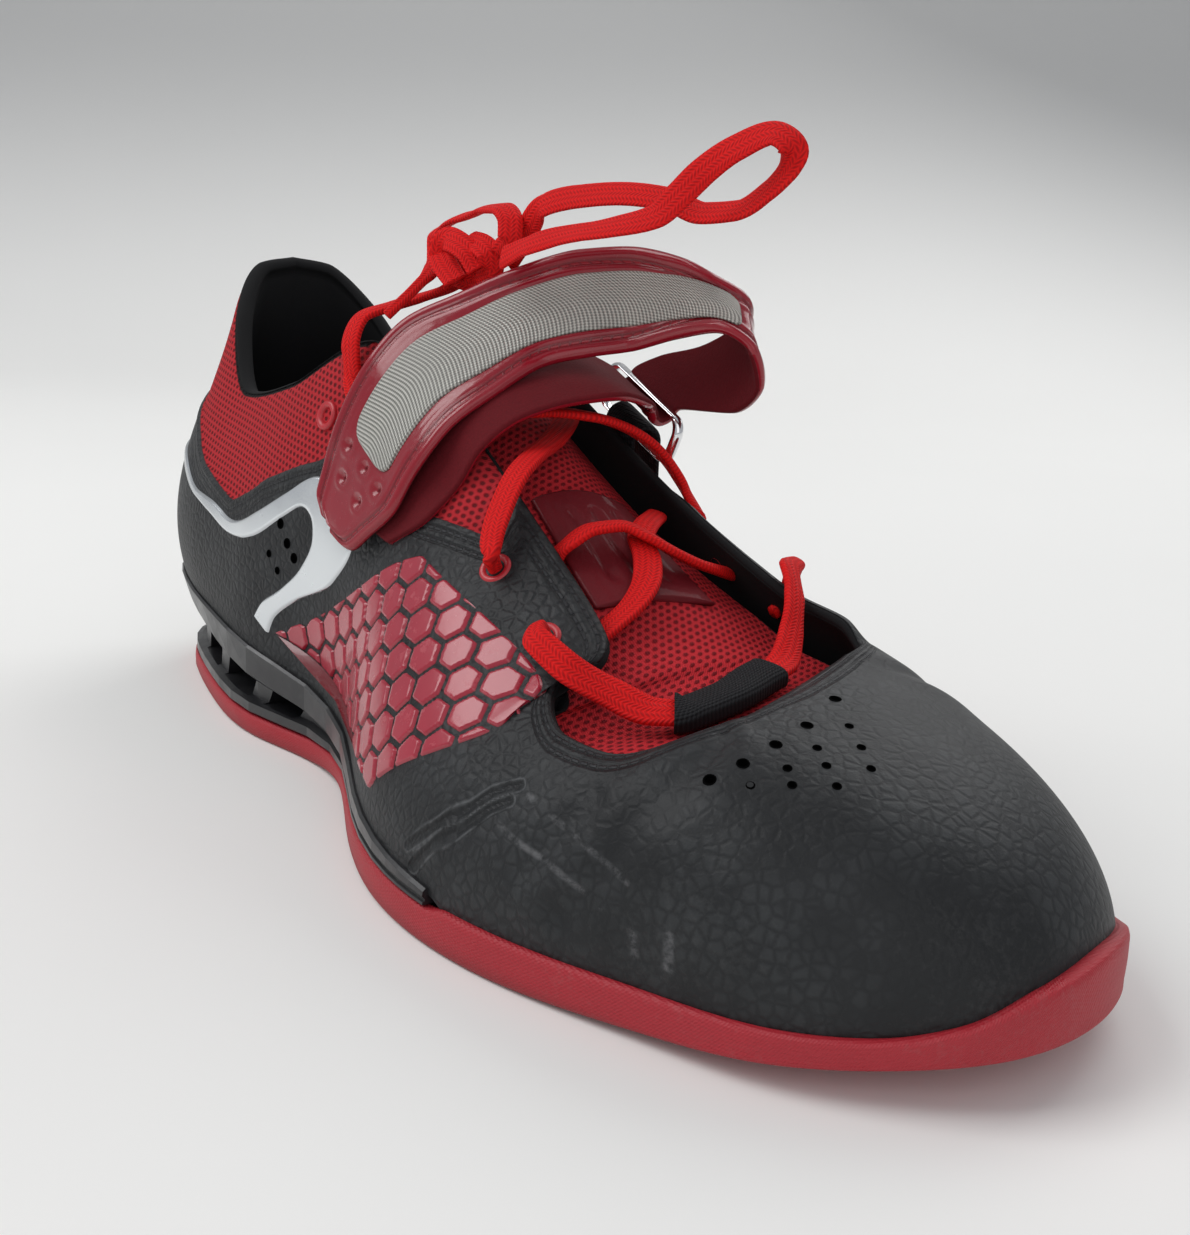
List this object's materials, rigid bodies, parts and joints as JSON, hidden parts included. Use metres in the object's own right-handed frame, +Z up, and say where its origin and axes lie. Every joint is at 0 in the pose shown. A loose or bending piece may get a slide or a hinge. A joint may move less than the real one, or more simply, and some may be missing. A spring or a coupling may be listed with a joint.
{
  "type": "weightlifting shoe",
  "caption": "Right weightlifting shoe: black leather and red mesh upper, raised open heel frame, red rubber sole, loose instep strap with ring, tied red laces.",
  "frame": {"origin": "on the floor under the middle of the shoe's length and width", "axes": "+X to the toe, +Y to the medial side, +Z up"},
  "size_m": [0.29, 0.1076, 0.1436],
  "materials": {
    "eyelet_red": "satin",
    "frame_grey": "satin",
    "insole_black": "matte",
    "lace_red": "matte",
    "leather_black": "matte",
    "mesh_red": "matte",
    "mesh_silver": "satin",
    "patch_red": "gloss",
    "ring_chrome": "polished",
    "rubber_red": "satin",
    "strap_red": "gloss",
    "trim_silver": "satin",
    "webbing_black": "matte"
  },
  "bodies": {
    "root": {"d_ring": "ring_chrome", "eyelet_0": "eyelet_red", "eyelet_1": "eyelet_red", "eyelet_2": "eyelet_red", "eyelet_3": "eyelet_red", "eyelet_4": "eyelet_red", "eyelet_5": "eyelet_red", "eyelet_6": "eyelet_red", "heel_frame": "frame_grey", "heel_trim": "trim_silver", "insole": "insole_black", "lace_bar_front": "lace_red", "lace_cross_high": "lace_red", "lace_cross_low": "lace_red", "lace_knot": "lace_red", "lace_loop_long": "lace_red", "lace_loop_small": "lace_red", "lace_over": "lace_red", "lace_rise": "lace_red", "lace_tag": "webbing_black", "lace_top": "lace_red", "outsole": "rubber_red", "ring_tab": "webbing_black", "side_patch_lateral": "patch_red", "side_patch_medial": "patch_red", "strap": "strap_red", "strap_panel": "mesh_silver", "tongue": "mesh_red", "tongue_keeper": "strap_red", "upper": "leather_black"}
  },
  "joints": []
}
